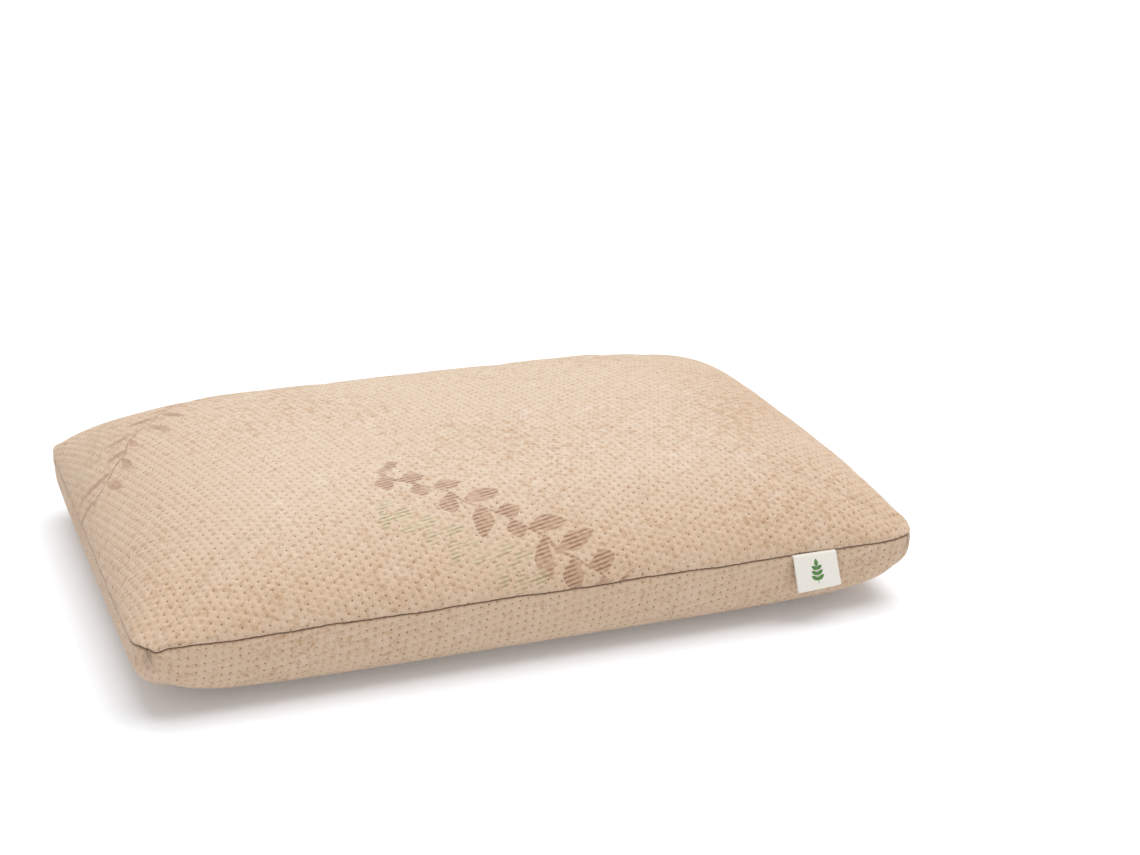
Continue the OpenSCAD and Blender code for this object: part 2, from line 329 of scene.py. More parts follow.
def shell_panel(name, way, faces, inset, crown, thickness, allowance, lip, shift=None, slot=0.0):
    """Closed shell of one panel: its dome, the lip rolled into the seam, the allowance and the
    inside. shift moves the outer points, and its rim rows move the seam with it."""
    u, v = panel_grid(faces, way)
    outer = dome(u, v, way, inset, crown, lip, slot)
    cloth = cloth_coordinates(outer)
    c, s = rim_directions(u[:, 0], v[0])
    wobble = seam_wobble(c, s) if shift is not None else np.zeros_like(c)
    if shift is not None:
        outer = outer + shift
    rows, columns = faces[0] + 1, faces[1] + 1
    points = [outer.reshape(-1, 3)]
    uvs = [cloth.reshape(-1, 2)]
    count = rows * columns
    loop = rim_loop(rows, columns)
    quads = grid_faces(rows, columns, flip=way < 0)
    rim_uv = cloth.reshape(-1, 2)[loop]
    outward = np.stack([c * (np.abs(c) > ON_RIM), s * (np.abs(s) > ON_RIM)], axis=-1)
    at_zip = zip_share(c, s) if slot else np.zeros_like(c)
    open_up = slot * at_zip
    hem = inset + thickness + ZIP_HEM + (allowance - ZIP_HEM) * (1 - at_zip)
    inner_wall = inset + thickness

    def add_ring(ring_inset, height, spread):
        nonlocal count, loop
        z = SEAM_Z + way * (height + open_up) + wobble
        points.append(ring(c, s, ring_inset, z))
        uvs.append(rim_uv + outward * spread)
        new = count + np.arange(len(c))
        quads.extend(band_faces(loop, new, flip=way > 0))
        count += len(c)
        loop = new

    for step in range(1, LIP_STEPS + 1):
        angle = math.pi / 2 * step / LIP_STEPS
        depth = inset + lip * (1 - math.cos(angle))
        height = LIP_GAP + (lip - LIP_GAP) * (1 - math.sin(angle))
        add_ring(depth, height, lip * angle)
    add_ring(hem, LIP_GAP, lip * 2 + allowance)
    add_ring(hem, LIP_GAP + HEM_PLY, lip * 2 + allowance + HEM_PLY)
    add_ring(inner_wall, LIP_GAP + HEM_PLY, lip * 2 + 2 * allowance)

    coarse = (slice(None, None, INSIDE_STEP),) * 2
    coarse_u, coarse_v = u[coarse], v[coarse]
    crown_inside = crown - way * thickness
    floor = LIP_GAP + HEM_PLY + INSIDE_GAP
    inside = dome(coarse_u, coarse_v, way, inner_wall, crown_inside, floor, slot)
    if shift is not None:
        inside = inside + shift[coarse]
    inner_rows, inner_columns = coarse_u.shape
    inner_loop = rim_loop(inner_rows, inner_columns, count)
    quads.extend(stepped_faces(loop, inner_loop, flip=way > 0))
    quads.extend(grid_faces(inner_rows, inner_columns, count, flip=way > 0))
    points.append(inside.reshape(-1, 3))
    uvs.append(cloth[coarse].reshape(-1, 2))
    obj = make_mesh(name, np.concatenate(points), quads, np.concatenate(uvs))
    along = cloth[-1, columns // 2, 0] - cloth[0, columns // 2, 0]
    across = cloth[rows // 2, -1, 1] - cloth[rows // 2, 0, 1]
    margin = 2 * (lip + allowance)
    return obj, (across + margin, along + margin)


# ---------------------------------------------------------------- cloth simulation


def simulate_cover():
    """Inflates a cut that is a little too big, held at its seam, and returns how the two panels
    fold. The folds are kept and the overall swelling is taken out, so the size stays."""
    frames, cap, spare = 20, 6 * MM, -0.012
    fields = {}
    for way in (1, -1):
        u, v = panel_grid(CLOTH_FACES, way)
        start = dome(u, v, way, 0, CROWN_Z if way > 0 else 0.0, LIP)
        rows, columns = CLOTH_FACES[0] + 1, CLOTH_FACES[1] + 1
        faces = grid_faces(rows, columns, flip=way < 0)
        obj = make_mesh("cover_cloth", start, faces)
        held = obj.vertex_groups.new(name="held_at_seam")
        held.add([int(i) for i in rim_loop(rows, columns)], 1.0, "REPLACE")
        cloth = obj.modifiers.new("Cloth", "CLOTH")
        cloth.settings.quality = 6
        cloth.settings.mass = 0.25
        cloth.settings.tension_stiffness = 12
        cloth.settings.compression_stiffness = 12
        cloth.settings.shear_stiffness = 4
        cloth.settings.bending_stiffness = 0.35
        cloth.settings.vertex_group_mass = "held_at_seam"
        cloth.settings.shrink_min = spare
        cloth.settings.use_pressure = True
        cloth.settings.uniform_pressure_force = 4
        cloth.settings.effector_weights.gravity = 0
        cloth.collision_settings.use_collision = False
        cloth.collision_settings.use_self_collision = False
        cloth.point_cache.frame_end = frames
        for number in range(1, frames + 1):
            bpy.context.scene.frame_set(number)
        shape = obj.evaluated_get(bpy.context.evaluated_depsgraph_get()).data
        co = np.zeros(len(shape.vertices) * 3)
        shape.vertices.foreach_get("co", co)
        move = co.reshape(rows, columns, 3) - start
        obj.modifiers.remove(cloth)
        bpy.data.objects.remove(obj)
        length = np.linalg.norm(move, axis=-1, keepdims=True)
        move = move * np.minimum(1, cap / np.maximum(length, 1e-9))
        fields[way] = move - swelling(move)
    bpy.context.scene.frame_set(1)
    return fields


def swelling(move, reach=7):
    """The slow part of a field of moves, by repeated averaging over neighbours."""
    slow = move.copy()
    for _ in range(reach * reach):
        for axis in (0, 1):
            ahead = np.roll(slow, -1, axis=axis)
            behind = np.roll(slow, 1, axis=axis)
            middle = (ahead + 2 * slow + behind) / 4
            edge = [slice(None)] * 3
            edge[axis] = slice(1, -1)
            slow[tuple(edge)] = middle[tuple(edge)]
    return slow


def cover_shift(way, folds):
    """How each outer point of a cover panel moves from the plain dome."""
    u, v = panel_grid(COVER_FACES, way)
    base = dome(u, v, way, 0, CROWN_Z if way > 0 else 0.0, LIP, ZIP_SLOT_HALF)
    normal = grid_normals(base, way)
    lumps, away = seam_puckers(u, v, way, base)
    c, s = direction(u, v)
    shift = normal * lumps[..., None]
    shift[..., 2] += seam_wobble(c, s) * np.exp(-away / (9 * MM))
    if folds is not None:
        fold = resample(folds[way], COVER_FACES)
        rest = np.clip(away / (6 * MM), 0, 1)[..., None]
        shift += np.clip(fold * 0.32, -0.65 * MM, 0.65 * MM) * rest
    row = np.exp(-(((away - (STITCH_LINE - ZIP_SLOT_HALF - LIP)) / (1.3 * MM)) ** 2))
    shift -= normal * (0.35 * MM * row * zip_share(c, s))[..., None]
    if way < 0:
        low = base[..., 2] + shift[..., 2]
        shift[..., 2] += np.maximum(0, -low)
    return shift


# ---------------------------------------------------------------- node trees


class Nodes:
    """Adds nodes to a tree. Each input is a value or another node's output."""

    def __init__(self, tree):
        self.tree = tree

    def put(self, socket, value):
        if isinstance(value, bpy.types.NodeSocket):
            self.tree.links.new(value, socket)
        else:
            socket.default_value = value

    def add(self, kind, inputs=None, **settings):
        node = self.tree.nodes.new(kind)
        for name, value in settings.items():
            setattr(node, name, value)
        for name, value in (inputs or {}).items():
            self.put(node.inputs[name], value)
        return node

    def math(self, operation, *values, clamp=False):
        node = self.add("ShaderNodeMath", operation=operation, use_clamp=clamp)
        for socket, value in zip(node.inputs, values):
            self.put(socket, value)
        return node.outputs[0]

    def vector(self, operation, *values, out=0):
        node = self.add("ShaderNodeVectorMath", operation=operation)
        for socket, value in zip(node.inputs, values):
            self.put(socket, value)
        return node.outputs[out]

    def length(self, value):
        return self.vector("LENGTH", value, out=1)

    def xyz(self, x, y, z):
        return self.add("ShaderNodeCombineXYZ", {"X": x, "Y": y, "Z": z}).outputs[0]

    def split(self, value):
        return self.add("ShaderNodeSeparateXYZ", {"Vector": value}).outputs


def grown(name, source, finish, sizes, build):
    """Runs a Geometry Nodes tree on a source path and keeps the result as a plain mesh."""
    tree = bpy.data.node_groups.new(name + "_rule", "GeometryNodeTree")
    tree.interface.new_socket("Geometry", in_out="INPUT", socket_type="NodeSocketGeometry")
    keys = {}
    for label, value in sizes.items():
        kind = "NodeSocketInt" if isinstance(value, int) else "NodeSocketFloat"
        socket = tree.interface.new_socket(label, in_out="INPUT", socket_type=kind)
        keys[label] = socket.identifier
    tree.interface.new_socket("Geometry", in_out="OUTPUT", socket_type="NodeSocketGeometry")
    nodes = Nodes(tree)
    start = nodes.add("NodeGroupInput")
    end = nodes.add("NodeGroupOutput")
    shape = build(nodes, start.outputs["Geometry"], start.outputs)
    whole = nodes.add("GeometryNodeRealizeInstances", {"Geometry": shape}).outputs[0]
    inputs = {"Geometry": whole, "Material": finish}
    dressed = nodes.add("GeometryNodeSetMaterial", inputs).outputs[0]
    tree.links.new(dressed, end.inputs[0])
    modifier = source.modifiers.new(name, "NODES")
    modifier.node_group = tree
    for label, value in sizes.items():
        modifier[keys[label]] = value
    bpy.context.view_layer.update()
    graph = bpy.context.evaluated_depsgraph_get()
    mesh = bpy.data.meshes.new_from_object(source.evaluated_get(graph))
    source.modifiers.clear()
    bpy.data.objects.remove(source)
    mesh.name = name
    mesh.polygons.foreach_set("use_smooth", [True] * len(mesh.polygons))
    obj = bpy.data.objects.new(name, mesh)
    bpy.context.scene.collection.objects.link(obj)
    return obj


def path_of(*runs):
    """Edges through each run of points, for a Geometry Nodes tree to follow."""
    points, edges = [], []
    for run, closed in runs:
        first = len(points)
        points.extend(np.asarray(run, float).tolist())
        edges.extend((first + i, first + i + 1) for i in range(len(run) - 1))
        if closed:
            edges.append((len(points) - 1, first))
    mesh = bpy.data.meshes.new("path")
    mesh.from_pydata(points, edges, [])
    obj = bpy.data.objects.new("path", mesh)
    bpy.context.scene.collection.objects.link(obj)
    return obj


def tube(n, curve, radius, sides):
    """Round tube along a curve."""
    profile = n.add("GeometryNodeCurvePrimitiveCircle", {"Resolution": sides, "Radius": radius})
    inputs = {"Curve": curve, "Profile Curve": profile.outputs[0], "Fill Caps": True}
    return n.add("GeometryNodeCurveToMesh", inputs).outputs[0]


def joined(n, *parts):
    node = n.add("GeometryNodeJoinGeometry")
    for part in parts:
        n.tree.links.new(part, node.inputs[0])
    return node.outputs[0]


def along_path(n, curve, size, instance, scale):
    """Instances at every pitch, square to the path, leaning as asked."""
    inputs = {"Curve": curve, "Length": size["Pitch"]}
    points = n.add("GeometryNodeCurveToPoints", inputs, mode="LENGTH")
    inputs = {
        "Points": points.outputs["Points"],
        "Instance": instance,
        "Rotation": points.outputs["Rotation"],
        "Scale": scale,
    }
    placed = n.add("GeometryNodeInstanceOnPoints", inputs).outputs[0]
    lean = n.xyz(size["Lean"], size["Turn"], 0.0)
    return n.add("GeometryNodeRotateInstances", {"Instances": placed, "Rotation": lean}).outputs[0]


def sewn_line(n, path, size):
    """A thread that runs along the path, with a raised stitch at every pitch."""
    curve = n.add("GeometryNodeMeshToCurve", {"Mesh": path}).outputs[0]
    stitch = n.add("GeometryNodeMeshUVSphere", {"Segments": 6, "Rings": 5, "Radius": 1.0})
    scale = n.xyz(size["Across"], size["Thread"], size["Along"])
    stitches = along_path(n, curve, size, stitch.outputs["Mesh"], scale)
    return joined(n, tube(n, curve, size["Core"], 6), stitches)


def loops(n, path, size):
    """Oval loops of thread or filament that wind round the path."""
    curve = n.add("GeometryNodeMeshToCurve", {"Mesh": path}).outputs[0]
    circle = n.add("GeometryNodeCurvePrimitiveCircle", {"Resolution": 10, "Radius": 1.0})
    scale = n.xyz(size["Across"], size["High"], 1.0)
    inputs = {"Geometry": circle.outputs[0], "Scale": scale}
    oval = n.add("GeometryNodeTransform", inputs).outputs[0]
    loop = tube(n, oval, size["Thread"], 5)
    return joined(n, tube(n, curve, size["Core"], 6), along_path(n, curve, size, loop, (1, 1, 1)))


# ---------------------------------------------------------------- finishes


def colour(red, green, blue):
    """Shader colour of a swatch given in 0 to 255."""
    shares = [value / 255 for value in (red, green, blue)]
    light = [s / 12.92 if s <= 0.04045 else ((s + 0.055) / 1.055) ** 2.4 for s in shares]
    return (*light, 1.0)


class Finish(Nodes):
    """A material whose colour, roughness and relief come from patterns in millimetres."""

    def __init__(self, name, roughness=0.9, **sockets):
        self.material = bpy.data.materials.new(name)
        self.material.use_nodes = True
        super().__init__(self.material.node_tree)
        self.shader = self.tree.nodes["Principled BSDF"]
        self.set(Roughness=roughness, **sockets)

    def set(self, **sockets):
        for name, value in sockets.items():
            self.put(self.shader.inputs[name.replace("_", " ")], value)

    def place(self):
        """Place on the object, in millimetres."""
        return self.scaled(self.add("ShaderNodeTexCoord").outputs["Object"])

    def cloth(self):
        """Place on the cut cloth, in millimetres."""
        return self.scaled(self.add("ShaderNodeUVMap", uv_map="cloth").outputs[0])

    def scaled(self, spot):
        return self.vector("MULTIPLY", spot, (1 / MM, 1 / MM, 1 / MM))

    def turned(self, spot, degrees):
        inputs = {"Vector": spot, "Angle": math.radians(degrees)}
        return self.add("ShaderNodeVectorRotate", inputs, rotation_type="Z_AXIS").outputs[0]

    def noise(self, spot, size, detail=2.0, rough=0.5, warp=0.0):
        """Cloudy value from 0 to 1, with blotches about size across."""
        inputs = {"Vector": spot, "Scale": 1 / size, "Detail": detail}
        inputs.update({"Roughness": rough, "Distortion": warp})
        return self.add("ShaderNodeTexNoise", inputs).outputs["Fac"]

    def ramp(self, value, low, high, start=0.0, end=1.0):
        inputs = {"Value": value, "From Min": low, "From Max": high, "To Min": start, "To Max": end}
        return self.add("ShaderNodeMapRange", inputs, interpolation_type="SMOOTHSTEP").outputs[0]

    def mix(self, share, first, second, blend="MIX"):
        node = self.add("ShaderNodeMix", data_type="RGBA", blend_type=blend)
        for socket, value in ((0, share), (6, first), (7, second)):
            self.put(node.inputs[socket], value)
        return node.outputs[2]

    def relief(self, height, depth_mm, strength=1.0):
        """Bump whose full height is depth_mm."""
        inputs = {"Height": height, "Distance": depth_mm * MM, "Strength": strength}
        bump = self.add("ShaderNodeBump", inputs)
        before = self.shader.inputs["Normal"]
        if before.links:
            self.put(bump.inputs["Normal"], before.links[0].from_socket)
        self.put(before, bump.outputs[0])

    def stripes(self, value, pitch):
        """Rounded ridges at every pitch, from 0 to 1."""
        wave = self.math("SINE", self.math("MULTIPLY", value, 2 * math.pi / pitch))
        return self.math("MULTIPLY_ADD", wave, 0.5, 0.5)


# Dots of the quilted knit in millimetres: pitch along and across the lattice, dot and puff sizes
DOT_PITCH = (7.4, 9.8)
DOT_RADIUS = 0.56
PUFF_REACH = 3.1
# Half the cloth along and across, and the tone of painted shade that the knit deepens to at its edge,
# by the seam
CLOTH_HALF = (320, 225)
EDGE_SHADE_TONE = (0.905, 0.835, 0.755, 1)
# Slant and pitch of the lines that fill the woven leaves
HATCH_TURN = -12
HATCH_PITCH = 3.2


def dot_lattice(f, spot, turn):
    """Strength of the dots and distance from the nearest one, on a centred lattice."""
    laid = f.turned(spot, -turn)
    dots, gaps = [], []
    for shift in (0, 0.5):
        cell = f.vector("DIVIDE", laid, (*DOT_PITCH, 1))
        cell = f.vector("ADD", cell, (shift, shift, 0))
        number = f.vector("FLOOR", cell)
        inside = f.vector("SUBTRACT", f.vector("FRACTION", cell), (0.5, 0.5, 0))
        local = f.vector("MULTIPLY", inside, (*DOT_PITCH, 0))
        gap = f.length(local)
        chance = f.add("ShaderNodeTexWhiteNoise", {"Vector": number}).outputs["Value"]
        strong = f.math("MULTIPLY_ADD", f.math("POWER", chance, 1.4), 0.75, 0.25)
        core = f.ramp(gap, DOT_RADIUS * 1.5, DOT_RADIUS * 0.45)
        dots.append(f.math("MULTIPLY", core, strong))
        gaps.append(gap)
    return f.math("MAXIMUM", *dots), f.math("MINIMUM", *gaps)


def leaf_spray(f, spot, start, heading, length, leaf, pitch, plump, strength):
    """Mask of a stem with a leaf at every pitch on each side of it."""
    moved = f.vector("SUBTRACT", spot, (*start, 0))
    x, y, _ = f.split(f.turned(moved, -heading))
    sway = f.math("SUBTRACT", f.noise(moved, 45, 1), 0.5)
    y = f.math("MULTIPLY_ADD", sway, 26, y)
    side = f.math("SIGN", y)
    run = f.math("MULTIPLY_ADD", side, pitch / 4, x)
    cell = f.math("FLOOR", f.math("DIVIDE", run, pitch))
    inside = f.math("SUBTRACT", run, f.math("MULTIPLY", cell, pitch))
    chance = f.add("ShaderNodeTexWhiteNoise", {"W": cell}, noise_dimensions="1D").outputs["Value"]
    lean = f.math("MULTIPLY_ADD", chance, 0.3, 0.75)
    out = f.math("ABSOLUTE", y)
    sine, cosine = f.math("SINE", lean), f.math("COSINE", lean)
    along = f.math("ADD", f.math("MULTIPLY", inside, cosine), f.math("MULTIPLY", out, sine))
    off = f.math("SUBTRACT", f.math("MULTIPLY", out, cosine), f.math("MULTIPLY", inside, sine))
    odds = f.math("FRACT", f.math("MULTIPLY", chance, 7.3))
    reach = f.math("MULTIPLY_ADD", odds, leaf * 0.5, leaf * 0.55)
    share = f.math("DIVIDE", along, reach)
    belly = f.math("MULTIPLY", share, f.math("SUBTRACT", 1.0, share))
    width = f.math("MULTIPLY", belly, leaf * plump)
    blade = f.ramp(f.math("SUBTRACT", width, f.math("ABSOLUTE", off)), 0.0, 1.2)
    stem = f.ramp(out, 1.7, 0.9)
    whole = f.math("MAXIMUM", blade, stem)
    inside_run = f.math("MULTIPLY", f.ramp(x, -2, 2), f.ramp(x, length + 2, length - 2))
    return f.math("MULTIPLY", f.math("MULTIPLY", whole, inside_run), strength)


# Sprays woven into the top panel, in millimetres over the cloth from its middle:
# start, heading in degrees, length, leaf length, leaf pitch, plumpness and strength
BROWN_SPRAYS = (
    ((-98, -84), -44, 205, 33, 26, 1.0, 0.95),
    ((-190, 150), -128, 185, 34, 27, 0.5, 0.85),
)
GREEN_SPRAYS = (
    ((-112, -134), -39, 135, 24, 18, 1.0, 0.8),
    ((-246, 176), -116, 135, 20, 18, 0.7, 0.7),
    ((182, 112), 12, 60, 14, 14, 0.9, 0.6),
)


def knit_finish(name, turn, sprays, reach, edge_shade):
    """Heathered beige knit, quilted by a lattice of brown dots. Beyond reach, the share of the cloth
    from its middle, it deepens to the given tone of painted shade, which darkens the cloth towards the
    seam."""
    f = Finish(name, 0.92, Sheen_Weight=0.25, Sheen_Roughness=0.6, Specular_IOR_Level=0.2)
    spot = f.cloth()
    laid = f.turned(spot, -turn)
    curds = f.noise(spot, 6.5, 5, 0.68, 0.6)
    grain = f.noise(spot, 1.7, 3, 0.7)
    flecks = f.noise(spot, 0.9, 2, 0.6)
    patches = f.noise(spot, 34, 3, 0.55)
    drift = f.noise(spot, 150, 2, 0.5)
    base = f.mix(f.ramp(grain, 0.3, 0.7), colour(223, 197, 170), colour(236, 216, 195))
    tan = f.ramp(f.math("MULTIPLY_ADD", drift, 0.35, curds), 0.65, 0.9, 0, 0.62)
    base = f.mix(tan, base, colour(197, 153, 108))
    milk = f.math("MULTIPLY", f.ramp(patches, 0.5, 0.74), f.ramp(curds, 0.62, 0.34))
    base = f.mix(f.math("MULTIPLY", milk, 0.5), base, colour(242, 226, 214))
    base = f.mix(f.ramp(flecks, 0.62, 0.8, 0, 0.4), base, colour(178, 138, 102))
    dots, gap = dot_lattice(f, spot, turn)
    across = f.split(f.turned(spot, HATCH_TURN))[1]
    hatch = f.ramp(f.stripes(across, HATCH_PITCH), 0.45, 0.8)
    plain = None
    for group, line, ground, cover in sprays:
        mask = None
        for spray in group:
            one = leaf_spray(f, spot, *spray)
            mask = one if mask is None else f.math("MAXIMUM", mask, one)
        base = f.mix(f.math("MULTIPLY", mask, cover), base, ground)
        worn = f.ramp(f.noise(spot, 16, 3, 0.6), 0.35, 0.6, 0.1, 0.85)
        base = f.mix(f.math("MULTIPLY", f.math("MULTIPLY", mask, hatch), worn), base, line)
        plain = mask if plain is None else f.math("MAXIMUM", plain, mask)
    if plain is not None:
        dots = f.math("MULTIPLY", dots, f.math("SUBTRACT", 1.0, plain))
    halo = f.ramp(gap, 1.7, 0.5, 0, 0.22)
    base = f.mix(halo, base, colour(186, 146, 112))
    base = f.mix(dots, base, colour(116, 70, 42))
    # Painted shade: the knit is darkened towards the edge of its cloth, where the walls meet the seam.
    side = f.vector("DIVIDE", f.vector("ABSOLUTE", spot), (*CLOTH_HALF, 1))
    out = f.math("MAXIMUM", *f.split(side)[:2])
    base = f.mix(f.ramp(out, reach, 1.0), base, edge_shade, "MULTIPLY")
    f.set(Base_Color=base)
    puff = f.ramp(gap, 0.0, PUFF_REACH)
    swell = f.math("MULTIPLY", puff, f.math("MULTIPLY_ADD", curds, 1.5, 0.0))
    f.relief(swell, 1.1)
    wales = f.stripes(f.split(laid)[0], 0.9)
    courses = f.stripes(f.split(laid)[1], 0.7)
    f.relief(f.math("ADD", f.math("MULTIPLY", wales, courses), grain), 0.2)
    return f.material


def thread_finish(name, dark, light, roughness=0.75):
    """Spun sewing thread, with its twist and loose fibres."""
    f = Finish(name, roughness, Sheen_Weight=0.15)
    spot = f.place()
    x, y, z = f.split(spot)
    twist = f.stripes(f.math("ADD", f.math("ADD", x, y), f.math("MULTIPLY", z, 1.7)), 0.42)
    fibres = f.noise(spot, 0.25, 2)
    f.set(Base_Color=f.mix(f.math("MULTIPLY", twist, fibres), colour(*dark), colour(*light)))
    f.relief(twist, 0.06)
    return f.material


def tape_finish():
    """Narrow woven tape with a herringbone."""
    f = Finish("zip_tape_weave", 0.82, Sheen_Weight=0.2)
    spot = f.place()
    x, _, z = f.split(spot)
    row = f.math("PINGPONG", z, 1.6)
    ribs = f.stripes(f.math("ADD", x, row), 0.7)
    fibres = f.noise(spot, 0.4, 3)
    shade = f.math("MULTIPLY", ribs, f.ramp(fibres, 0.2, 0.8, 0.6, 1))
    f.set(Base_Color=f.mix(shade, colour(196, 170, 140), colour(226, 205, 180)))
    f.relief(ribs, 0.12)
    return f.material


def filament_finish():
    """Moulded nylon filament, slightly clear, with draw marks."""
    f = Finish("zip_coil_nylon", 0.32, Subsurface_Weight=0.12, Coat_Weight=0.1)
    spot = f.place()
    marks = f.noise(f.vector("MULTIPLY", spot, (4, 1, 1)), 0.6, 2)
    f.set(Base_Color=f.mix(f.ramp(marks, 0.3, 0.7), colour(201, 176, 146), colour(222, 202, 176)))
    f.relief(marks, 0.02)
    return f.material


def metal_finish():
    """Die-cast metal under brown-gold enamel, rubbed bright where fingers reach."""
    f = Finish("zip_metal_enamel", 0.38, Coat_Weight=0.15)
    spot = f.place()
    grain = f.noise(spot, 0.35, 3)
    wear = f.ramp(f.noise(spot, 3.2, 5, 0.6), 0.5, 0.85, 0, 0.6)
    f.set(Base_Color=f.mix(wear, colour(178, 146, 108), colour(206, 180, 144)))
    f.set(Metallic=f.ramp(wear, 0, 1, 0.75, 0.95), Roughness=f.ramp(grain, 0.2, 0.8, 0.3, 0.46))
    f.relief(grain, 0.03)
    return f.material


def ribbon_finish(name, warm, pale, rib, sheen):
    """Ribbon with ribs across it and a plain selvedge along each side."""
    f = Finish(name, 0.6, Sheen_Weight=sheen, Sheen_Roughness=0.4)
    spot = f.cloth()
    across, along, _ = f.split(spot)
    ribs = f.stripes(along, rib)
    warp = f.stripes(across, rib * 0.6)
    clouds = f.noise(spot, 6, 3)
    weave = f.math("MULTIPLY", ribs, f.ramp(warp, 0, 1, 0.75, 1))
    shade = f.math("ADD", f.math("MULTIPLY", weave, 0.7), f.math("MULTIPLY", clouds, 0.3))
    f.set(Base_Color=f.mix(shade, colour(*warm), colour(*pale)))
    f.relief(weave, 0.07)
    return f.material


def sprig_finish():
    """Green embroidery thread, laid slantwise in satin stitch."""
    f = Finish("sprig_thread_green", 0.42, Sheen_Weight=0.3)
    spot = f.place()
    x, _, z = f.split(spot)
    rows = f.stripes(f.math("ADD", x, f.math("MULTIPLY", z, 0.6)), 0.45)
    clouds = f.noise(spot, 3, 2)
    leaf = f.mix(clouds, colour(58, 120, 42), colour(104, 168, 62))
    f.set(Base_Color=f.mix(f.ramp(rows, 0, 1, 0.45, 0), leaf, colour(30, 78, 30)))
    f.relief(rows, 0.09)
    return f.material


def foam_finish():
    """Cream foam with open cells and a thin moulded skin."""
    f = Finish("foam_cells", 0.95, Subsurface_Weight=0.08)
    spot = f.place()
    cells = f.add("ShaderNodeTexVoronoi", {"Vector": spot, "Scale": 0.9}).outputs["Distance"]
    large = f.add("ShaderNodeTexVoronoi", {"Vector": spot, "Scale": 0.22}).outputs["Distance"]
    pores = f.math("MULTIPLY", f.ramp(cells, 0.1, 0.45), f.ramp(large, 0.08, 0.22))
    clouds = f.noise(spot, 60, 3)
    cream = f.mix(clouds, colour(240, 226, 190), colour(250, 240, 214))
    f.set(Base_Color=f.mix(pores, colour(206, 186, 146), cream))
    f.relief(pores, 0.4)
    return f.material


def jersey_finish():
    """White jersey: columns of small V stitches."""
    f = Finish("liner_jersey_knit", 0.9, Sheen_Weight=0.2)
    x, y, _ = f.split(f.cloth())
    column = f.math("PINGPONG", x, 0.8)
    vee = f.stripes(f.math("ADD", y, column), 1.1)
    rib = f.stripes(x, 1.6)
    knit = f.math("MULTIPLY", vee, f.ramp(rib, 0, 1, 0.6, 1))
    clouds = f.noise(f.cloth(), 25, 3)
    shade = f.math("MULTIPLY", knit, f.ramp(clouds, 0.2, 0.8, 0.8, 1))
    f.set(Base_Color=f.mix(shade, colour(214, 210, 200), colour(244, 242, 236)))
    f.relief(knit, 0.25)
    return f.material


# ---------------------------------------------------------------- pieces


def dressed(piece, body, slot, finish, *nodes):
    """Gives a piece its finish and the body it moves with, and hides the nodes it stands for."""
    piece.data.materials.clear()
    piece.data.materials.append(finish)
    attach(piece, body)
    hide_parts(*nodes)
    return piece


def sheet_shell(name, front, back, uv):
    """Closed shell between two grids of points."""
    rows, columns = front.shape[:2]
    count = rows * columns
    faces = grid_faces(rows, columns)
    faces += grid_faces(rows, columns, count, flip=True)
    faces += band_faces(rim_loop(rows, columns), rim_loop(rows, columns, count), flip=True)
    points = np.concatenate([front.reshape(-1, 3), back.reshape(-1, 3)])
    uvs = np.concatenate([uv.reshape(-1, 2)] * 2)
    obj = make_mesh(name, points, faces, uvs)
    outward_faces(obj)
    return obj


def outward_faces(obj):
    """Turns every face of a closed mesh outwards."""
    work = bmesh.new()
    work.from_mesh(obj.data)
    bmesh.ops.remove_doubles(work, verts=work.verts, dist=1e-7)
    bmesh.ops.recalc_face_normals(work, faces=work.faces)
    work.to_mesh(obj.data)
    work.free()


def make_cover(folds):
    """The two knitted panels, sewn together round the edge and open for the zip at the back."""
    brown = (BROWN_SPRAYS, colour(146, 106, 86), colour(199, 162, 134), 0.6)
    green = (GREEN_SPRAYS, colour(152, 144, 104), colour(228, 214, 184), 0.6)
    # The last number of each pattern is how far from the middle the painted edge shade begins.
    plans = (
        ("cover_top_cloth", 1, CROWN_Z, (-23, (brown, green), 0.42), "cover_top_panel"),
        ("cover_base_cloth", -1, 0.0, (42, (), 0.3), "cover_bottom_panel"),
    )
    for name, way, crown, pattern, node in plans:
        shift = cover_shift(way, folds)
        sizes = (0.0, crown, COVER_T, ALLOWANCE, LIP, shift, ZIP_SLOT_HALF)
        panel, flat = shell_panel(name, way, COVER_FACES, *sizes)
        # Each panel's knit darkens to a painted shade towards its seam.
        knit = knit_finish(name + "_knit", *pattern, EDGE_SHADE_TONE)
        dressed(panel, "pillow", "cover_knit", knit, node)


def make_liner():
    """The thin jersey casing inside the cover, two panels with their own seam."""
    jersey = jersey_finish()
    plans = (
        ("liner_top_cloth", 1, LINER_CROWN, "liner_top_panel"),
        ("liner_base_cloth", -1, LINER_FLOOR, "liner_bottom_panel"),
    )
    for name, way, crown, node in plans:
        sizes = (LINER_INSET, crown, LINER_T, LINER_ALLOWANCE, LINER_T)
        panel, flat = shell_panel(name, way, LINER_FACES, *sizes)
        dressed(panel, "pillow", "liner_jersey", jersey, node)


def make_foam():
    """The block of foam that fills the pillow."""
    us = even_stations(True, 1, FOAM_FACES[0])
    vs = even_stations(False, 1, FOAM_FACES[1])
    u, v = np.meshgrid(us, vs, indexing="ij")
    rows, columns = u.shape
    upper = dome(u, v, 1, FOAM_INSET, FOAM_CROWN, 0.0)
    lower = dome(u, v, -1, FOAM_INSET, FOAM_FLOOR, 0.0)
    faces = grid_faces(rows, columns)
    faces += grid_faces(rows, columns, rows * columns, flip=True)
    core = make_mesh("foam_core_block", np.concatenate([upper, lower]), faces)
    outward_faces(core)
    dressed(core, "pillow", "foam", foam_finish(), "foam_core")


